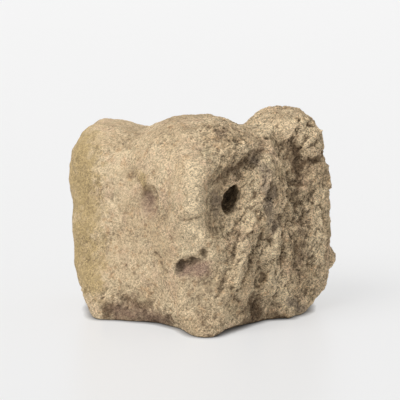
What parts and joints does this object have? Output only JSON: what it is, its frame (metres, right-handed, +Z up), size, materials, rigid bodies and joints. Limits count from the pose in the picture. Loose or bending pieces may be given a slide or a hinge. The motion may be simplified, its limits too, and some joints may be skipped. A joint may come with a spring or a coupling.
{
  "type": "stone corbel",
  "caption": "Weathered sandstone corbel: a block cut flat where it meets the wall and below, its front carved as a crude grotesque head between rounded shoulders, with a wedge-shaped chin.",
  "frame": {"origin": "middle of the flat wall face: half way between the side planes of the block and half way up it", "axes": "+Z up, +Y into the wall, so the carved head looks along -Y; +X is the head's own left and the viewer's right"},
  "size_m": [0.3013, 0.2215, 0.2246],
  "materials": {
    "sandstone": "coarse gritty weathered sandstone, worn smooth on one half and broken on the other"
  },
  "bodies": {
    "root": {"corbel_stone": "sandstone"}
  },
  "joints": []
}
